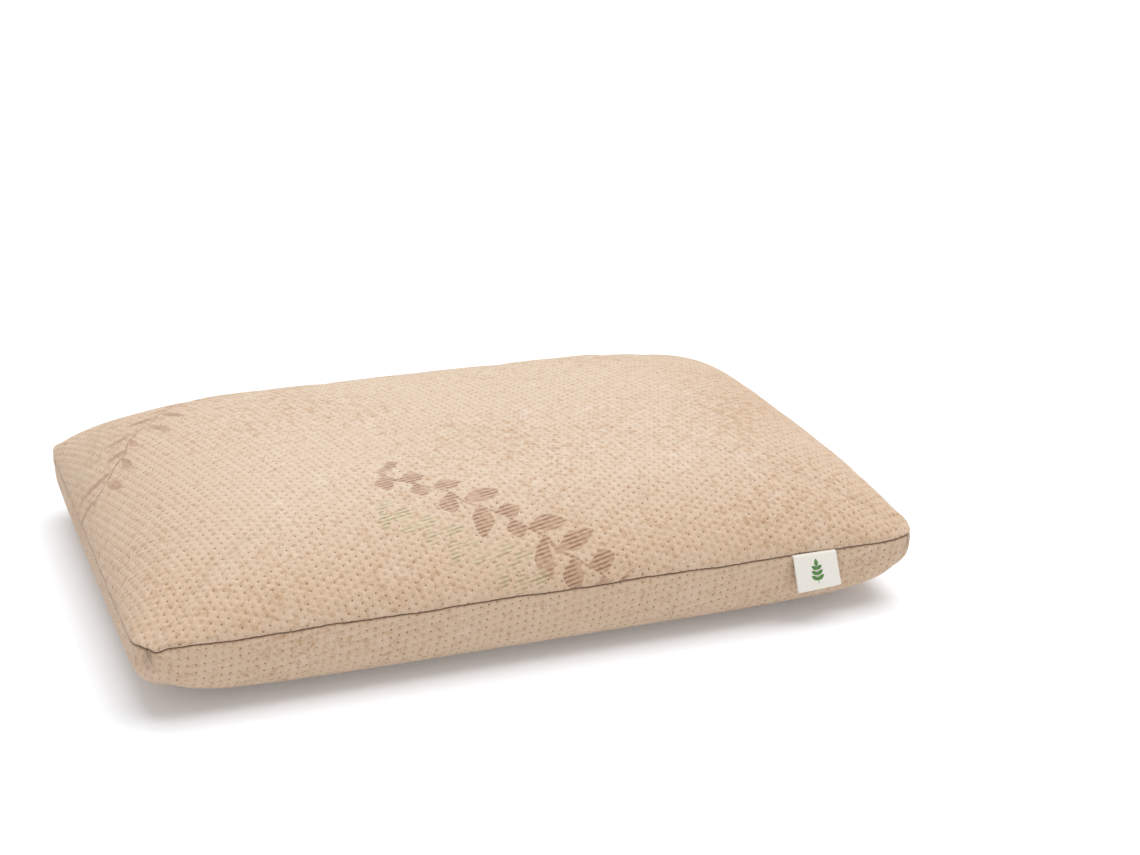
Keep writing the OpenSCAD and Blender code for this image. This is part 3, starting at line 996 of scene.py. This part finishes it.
def seam_path(inset, wobbling=True):
    """Points all round the seam, and the order of those that leave out the zip opening."""
    us = even_stations(True, 1, COVER_FACES[0])
    vs = even_stations(False, 1, COVER_FACES[1])
    c, s = rim_directions(us, vs)
    wander = seam_wobble(c, s) if wobbling else 0.0
    points = ring(c, s, inset, SEAM_Z + wander)
    at_zip = (s > ON_BACK_EDGE) & (np.abs(c) * HALF_L < ZIP_END + ZIP_SEAM_GAP)
    sewn = np.flatnonzero(~at_zip)
    start = sewn[np.flatnonzero(np.diff(sewn) > 1)[0] + 1]
    order = (start + np.arange(len(sewn))) % len(points)
    return points, order


def make_seam_threads():
    """Thread in the cover's seam, the overlock that binds its allowance, and the liner's seam."""
    points, order = seam_path(THREAD_DEPTH)
    run = points[order]
    brown = thread_finish("seam_thread_brown", (118, 82, 58), (168, 130, 100))
    sizes = {
        "Pitch": 3.4 * MM,
        "Core": 0.17 * MM,
        "Across": 0.29 * MM,
        "Thread": 0.29 * MM,
        "Along": 1.5 * MM,
        "Lean": 0.0,
        "Turn": 0.08,
    }
    line = grown("cover_seam_line", path_of((run, False)), brown, sizes, sewn_line)
    dressed(line, "pillow", "seam_thread", brown, "cover_seam_thread")

    cream = thread_finish("overlock_thread_cream", (196, 172, 140), (232, 214, 188))
    inner = seam_path(COVER_T + ALLOWANCE)[0][order]
    sizes = {
        "Pitch": 3.2 * MM,
        "Core": 0.25 * MM,
        "Across": 1.6 * MM,
        "High": 1.45 * MM,
        "Thread": 0.2 * MM,
        "Lean": 0.35,
        "Turn": 0.0,
    }
    binding = grown("cover_overlock_loops", path_of((inner, False)), cream, sizes, loops)
    dressed(binding, "pillow", "seam_thread", cream, "cover_overlock_thread")

    white = thread_finish("liner_thread_white", (206, 202, 192), (240, 238, 232))
    whole = seam_path(LINER_INSET + 0.15 * MM, False)[0]
    sizes = {
        "Pitch": 3 * MM,
        "Core": 0.14 * MM,
        "Across": 0.2 * MM,
        "Thread": 0.2 * MM,
        "Along": 1.2 * MM,
        "Lean": 0.0,
        "Turn": 0.0,
    }
    liner = grown("liner_seam_line", path_of((whole, True)), white, sizes, sewn_line)
    dressed(liner, "pillow", "liner_thread", white, "liner_seam_thread")


def wall_path(way, height):
    """Points along the back wall, height above or below the seam, over the length of the zip."""
    crown = CROWN_Z if way > 0 else 0.0
    xs = np.linspace(-ZIP_END, ZIP_END, ZIP_STATIONS)
    vs = np.linspace(0.9, 1, PROFILE_SAMPLES)
    line = []
    for x in xs:
        wall = dome(np.full_like(vs, x / HALF_L), vs, way, 0, crown, LIP, ZIP_SLOT_HALF)
        spot = wall[np.argmin(np.abs(wall[:, 2] - (SEAM_Z + way * height)))]
        line.append((spot[0], spot[1] - 0.1 * MM, spot[2]))
    return np.array(line)


def make_zip():
    """Woven tapes, nylon coils, stops, stitching and bar tacks of the zip in the back edge."""
    tape, nylon, metal = tape_finish(), filament_finish(), metal_finish()
    beige = thread_finish("zip_thread_beige", (146, 112, 84), (198, 166, 134))
    for side, way in (("upper", 1), ("lower", -1)):
        low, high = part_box("zipper_tape_" + side)
        xs = np.linspace(low.x, high.x, ZIP_STATIONS)
        zs = np.linspace(low.z, high.z, 9)
        x, z = np.meshgrid(xs, zs, indexing="ij")
        ripple = TAPE_RIPPLE * np.sin(x / (6.5 * MM)) * np.abs(z - SEAM_Z) / (12 * MM)
        front = np.stack([x, high.y - TAPE_SPARE + ripple, z], axis=-1)
        back = np.stack([x, low.y + TAPE_SPARE + ripple, z], axis=-1)
        strip = sheet_shell("zip_tape_" + side, front, back, np.stack([x, z], axis=-1))
        dressed(strip, "pillow", "zip_tape", tape, "zipper_tape_" + side)

        low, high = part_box("zipper_coil_" + side)
        middle = (low + high) / 2
        half_y, half_z = (high.y - low.y) / 2, (high.z - low.z) / 2
        pitch = 1.25 * MM
        shift = pitch / 2 if way > 0 else 0.0
        run = [(low.x + 1 * MM + shift, middle.y, middle.z), (high.x - 1 * MM, middle.y, middle.z)]
        wire = 0.26 * MM
        sizes = {
            "Pitch": pitch,
            "Core": 0.35 * MM,
            "Across": half_y - wire,
            "High": half_z - wire + 0.1 * MM,
            "Thread": wire,
            "Lean": 0.0,
            "Turn": 0.22,
        }
        coil = grown("zip_coil_" + side, path_of((run, False)), nylon, sizes, loops)
        dressed(coil, "pillow", "zip_coil", nylon, "zipper_coil_" + side)

        sizes = {
            "Pitch": 2.9 * MM,
            "Core": 0.12 * MM,
            "Across": 0.27 * MM,
            "Thread": 0.27 * MM,
            "Along": 1.15 * MM,
            "Lean": 0.0,
            "Turn": 0.0,
        }
        line = path_of((wall_path(way, STITCH_LINE), False))
        row = grown("zip_stitches_" + side, line, beige, sizes, sewn_line)
        dressed(row, "pillow", "zip_thread", beige, "zipper_stitch_" + side)

    low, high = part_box("zipper_end_tacks")
    middle_y = (low.y + high.y) / 2
    ends = []
    for x in (1 * MM - high.x, high.x - 1 * MM):
        ends.append(((x, middle_y, low.z), (x, middle_y, high.z)))
    sizes = {
        "Pitch": 0.55 * MM,
        "Core": 0.2 * MM,
        "Across": 1.0 * MM,
        "Thread": 0.27 * MM,
        "Along": 0.27 * MM,
        "Lean": 0.0,
        "Turn": 0.12,
    }
    tacks = grown("zip_bar_tacks", path_of(*((end, False) for end in ends)), beige, sizes, sewn_line)
    dressed(tacks, "pillow", "zip_thread", beige, "zipper_end_tacks")

    pieces = (
        ("zip_top_stops", "pillow", "zipper_top_stops", 0.25),
        ("zip_bottom_stop", "pillow", "zipper_bottom_stop", 0.25),
        ("zip_slider_body", "zip_slider", "zipper_slider", 0.22),
        ("zip_pull", "pull_tab", "zipper_pull_tab", 0.25),
    )
    for name, body, node, edge in pieces:
        piece = rounded_copy(name, node, edge * MM)
        dressed(piece, body, "zip_metal", metal, node)


def rounded_copy(name, node, edge):
    """A copy of a node's solid with its sharp edges rounded off."""
    mesh = frame["nodes"][node].data.copy()
    obj = bpy.data.objects.new(name, mesh)
    bpy.context.scene.collection.objects.link(obj)
    work = bmesh.new()
    work.from_mesh(mesh)
    bmesh.ops.remove_doubles(work, verts=work.verts, dist=1e-6)
    flat_turn = math.radians(1)
    bmesh.ops.dissolve_limit(work, angle_limit=flat_turn, verts=work.verts, edges=work.edges)
    work.to_mesh(mesh)
    work.free()
    bevel = obj.modifiers.new("rounded edges", "BEVEL")
    bevel.width = edge
    bevel.segments = 3
    bevel.limit_method = "ANGLE"
    bevel.angle_limit = math.radians(40)
    graph = bpy.context.evaluated_depsgraph_get()
    result = bpy.data.meshes.new_from_object(obj.evaluated_get(graph))
    obj.modifiers.clear()
    obj.data = result
    result.name = name
    result.set_sharp_from_angle(angle=math.radians(50))
    result.polygons.foreach_set("use_smooth", [True] * len(result.polygons))
    return obj


# ---------------------------------------------------------------- tags


RIBBON_TUCK = 3 * MM
RIBBON_STATIONS = 64
RIBBON_WIDTHS = 25
SPRIG_FOOT = 0.08 * MM


class Ribbon:
    """A ribbon folded double, sewn into the seam by its ends and hanging from it."""

    def __init__(self, root, along, out, width, drop, ply, skew, tilt, lift, curl):
        self.root, self.along, self.out = (np.array(v, float) for v in (root, along, out))
        self.width, self.drop, self.ply, self.curl = width, drop, ply, curl
        self.skew = math.tan(math.radians(skew))
        self.tilt = math.tan(math.radians(tilt))
        self.profile = self.fold(math.radians(lift))

    def fold(self, lift):
        """Middle line of the ribbon in the plane across the seam, as (out, down) points."""
        runs = np.linspace(-RIBBON_TUCK, self.drop, RIBBON_STATIONS)
        bend = np.clip((runs + 0.6 * MM) / (2.4 * MM), 0, 1)
        angle = math.pi / 2 + (lift - math.pi / 2) * bend * bend * (3 - 2 * bend)
        angle = angle - 0.12 * np.sin(np.pi * np.clip(runs / self.drop, 0, 1))
        step = np.diff(runs, prepend=runs[0])
        out = np.cumsum(np.sin(angle) * step)
        down = np.cumsum(np.cos(angle) * step)
        line = np.stack([out, down], axis=-1)
        self.runs = runs
        return line - line[np.argmin(np.abs(runs))]

    def point(self, a, run, off):
        """Point at a across the ribbon and run down it, off to its outer side."""
        a, run, off = np.broadcast_arrays(*(np.asarray(v, float) for v in (a, run, off)))
        o = np.interp(run, self.runs, self.profile[:, 0])
        d = np.interp(run, self.runs, self.profile[:, 1])
        do = np.gradient(self.profile[:, 0], self.runs)
        dd = np.gradient(self.profile[:, 1], self.runs)
        slope_o, slope_d = np.interp(run, self.runs, do), np.interp(run, self.runs, dd)
        share = np.clip(run / self.drop, 0, 1)
        warp = self.curl * share**1.5 * np.sin(2.4 * a / self.width + 0.8)
        o = o + off * slope_d + warp
        d = d - off * slope_o - self.tilt * a * share
        shift = a + self.skew * d * (run > 0)
        down = np.array([0, 0, -1.0])
        flat = shift[..., None] * self.along + o[..., None] * self.out + d[..., None] * down
        return self.root + flat

    def mesh(self, name):
        """Closed mesh of the doubled ribbon."""
        radius = self.ply * 0.62
        bend = np.linspace(0, math.pi, 9)[1:-1]
        flat = np.zeros(len(self.runs))
        turn = np.concatenate([flat, bend, flat + math.pi])
        down = np.concatenate([self.runs, np.full(len(bend), self.drop), self.runs[::-1]])
        across = np.linspace(-self.width / 2, self.width / 2, RIBBON_WIDTHS)
        a, row = np.meshgrid(across, np.arange(len(down)), indexing="ij")
        tip = self.point(a, self.drop, 0.0) - self.point(a, self.drop - 1 * MM, 0.0)
        tip /= np.linalg.norm(tip, axis=-1, keepdims=True)
        grids = []
        for half in (self.ply / 2, -self.ply / 2):
            off = (radius + half) * np.cos(turn)
            past = (radius + half) * np.sin(turn)
            grids.append(self.point(a, down[row], off[row]) + tip * past[row][..., None])
        line = grids[0][RIBBON_WIDTHS // 2]
        length = np.cumsum(np.linalg.norm(np.diff(line, axis=0, prepend=line[:1]), axis=-1))
        uv = np.stack(np.broadcast_arrays(across[:, None], length[None, :]), axis=-1)
        return sheet_shell(name, *grids, uv), (self.width, float(length[-1]))


def leaf_blade(ribbon, base, heading, length, width, lift):
    """Domed leaf of embroidery laid on a ribbon, as a front and a back grid."""
    t, w = np.meshgrid(np.linspace(0, 1, 15), np.linspace(-1, 1, 9), indexing="ij")
    belly = np.sin(np.pi * t**0.85) ** 0.8
    along, side = t * length, w * width / 2 * belly
    a = base[0] + along * math.sin(heading) + side * math.cos(heading)
    run = base[1] - along * math.cos(heading) + side * math.sin(heading)
    vein = 1 - 0.45 * np.exp(-((w / 0.14) ** 2))
    height = lift * np.sqrt(np.clip(1 - w * w, 0, 1)) * np.clip(belly * 3, 0, 1) * vein
    surface = ribbon.ply * 1.12
    return ribbon.point(a, run, surface + height), ribbon.point(a, run, surface - SPRIG_FOOT)


def make_sprig(ribbon):
    """Three pairs of leaves, one at the tip and the stem, sewn on the front ribbon."""
    leaf = 6.4 * MM
    blades = []
    for level in range(3):
        foot = (0.0, (21 - 4.2 * level) * MM)
        length = leaf * (1 - 0.1 * level)
        for heading in (-0.95, 0.95):
            blades.append(leaf_blade(ribbon, foot, heading, length, 3.1 * MM, 0.32 * MM))
    blades.append(leaf_blade(ribbon, (0.0, 10.4 * MM), 0.0, leaf, 3.3 * MM, 0.32 * MM))
    blades.append(leaf_blade(ribbon, (0.0, 24.5 * MM), 0.0, 15.5 * MM, 0.7 * MM, 0.26 * MM))
    points, faces = [], []
    for front, back in blades:
        rows, columns = front.shape[:2]
        first = len(points) * rows * columns
        behind = first + rows * columns
        faces += grid_faces(rows, columns, first)
        faces += grid_faces(rows, columns, behind, flip=True)
        rims = rim_loop(rows, columns, first), rim_loop(rows, columns, behind)
        faces += band_faces(*rims, flip=True)
        points += [front.reshape(-1, 3), back.reshape(-1, 3)]
    sprig = make_mesh("front_tag_sprig", np.concatenate(points), faces)
    outward_faces(sprig)
    dressed(sprig, "front_tag", "tag_sprig", sprig_finish(), "side_label_sprig")


def make_tags():
    """The cream ribbon with its green sprig in the front seam, and the blank care ribbon."""
    joints = {joint["name"]: joint for joint in frame["joints"]}
    hinge = Vector(joints["front_tag_flap"]["pos_m"])
    front = Ribbon(
        root=hinge,
        along=(1, 0, 0),
        out=(0, -1, 0),
        width=36 * MM,
        drop=28 * MM,
        ply=0.34 * MM,
        skew=9,
        tilt=4.5,
        lift=13,
        curl=0.9 * MM,
    )
    tag, flat = front.mesh("front_tag_ribbon")
    cream = ribbon_finish("tag_ribbon_cream", (232, 226, 212), (250, 247, 240), 0.6, 0.15)
    tag.data.materials.append(cream)
    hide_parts("side_label")
    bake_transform(tag)

    make_sprig(front)

    hinge = Vector(joints["care_tag_flap"]["pos_m"])
    care = Ribbon(
        root=hinge,
        along=(0, 1, 0),
        out=(1, 0, 0),
        width=30 * MM,
        drop=38 * MM,
        ply=0.2 * MM,
        skew=-2,
        tilt=1,
        lift=5,
        curl=0.7 * MM,
    )
    label, flat = care.mesh("care_ribbon")
    satin = ribbon_finish("care_satin_white", (228, 228, 226), (250, 250, 250), 0.35, 0.3)
    label.data.materials.append(satin)
    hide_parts("care_label")
    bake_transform(label)


# ---------------------------------------------------------------- stage, light and camera


FLOOR_HALF = 60.0


def set_stage():
    """Plain pale floor that glows a little, soft light from above and an even surround."""
    corners = [(x * FLOOR_HALF, y * FLOOR_HALF, 0) for x, y in ((-1, -1), (1, -1), (1, 1), (-1, 1))]
    floor = make_mesh("floor", corners, [(0, 1, 2, 3)])
    paper = Finish("pale_paper", 0.95, Specular_IOR_Level=0.1)
    clouds = paper.noise(paper.place(), 400, 2)
    paper.set(Base_Color=paper.mix(clouds, colour(240, 243, 248), colour(245, 248, 252)))
    paper.set(Emission_Color=(0.9, 0.95, 1, 1), Emission_Strength=0.12)
    floor.data.materials.append(paper.material)
    world = bpy.data.worlds.new("studio")
    world.use_nodes = True
    surround = world.node_tree.nodes["Background"]
    surround.inputs["Color"].default_value = (1, 0.98, 0.96, 1)
    surround.inputs["Strength"].default_value = 0.52
    bpy.context.scene.world = world
    lamp = bpy.data.lights.new("soft_overhead", "SUN")
    lamp.energy = 2.4
    lamp.angle = math.radians(60)
    sun = bpy.data.objects.new("soft_overhead", lamp)
    bpy.context.scene.collection.objects.link(sun)
    sun.rotation_mode = "QUATERNION"
    sun.rotation_quaternion = Vector((-0.2, -0.1, -1)).to_track_quat("-Z", "Y")
    bpy.context.scene.view_settings.view_transform = "Standard"


def set_camera():
    """Camera in front of the pillow's left half, looking down on it."""
    azimuth, elevation, roll = (math.radians(angle) for angle in (-21.72, 21.17, 1.204))
    distance, pan_right, pan_up = 1.658, 0.0827, 0.0463
    level = math.cos(elevation)
    back = Vector((math.sin(azimuth) * level, -math.cos(azimuth) * level, math.sin(elevation)))
    side = Vector((math.cos(azimuth), math.sin(azimuth), 0))
    upright = back.cross(side)
    right = side * math.cos(roll) + upright * math.sin(roll)
    up = upright * math.cos(roll) - side * math.sin(roll)
    lens = bpy.data.cameras.new("camera")
    lens.sensor_width = 36
    lens.lens = 65.52
    camera = bpy.data.objects.new("camera", lens)
    bpy.context.scene.collection.objects.link(camera)
    aim = Vector((0, 0, CROWN_Z / 2))
    camera.rotation_mode = "QUATERNION"
    camera.location = aim + back * distance + right * pan_right + up * pan_up
    camera.rotation_quaternion = Matrix((right, up, back)).transposed().to_quaternion()
    bpy.context.scene.camera = camera


# ---------------------------------------------------------------- the whole pillow

set_camera()
set_stage()
make_foam()
make_cover(simulate_cover())
make_liner()
make_seam_threads()
make_zip()
make_tags()
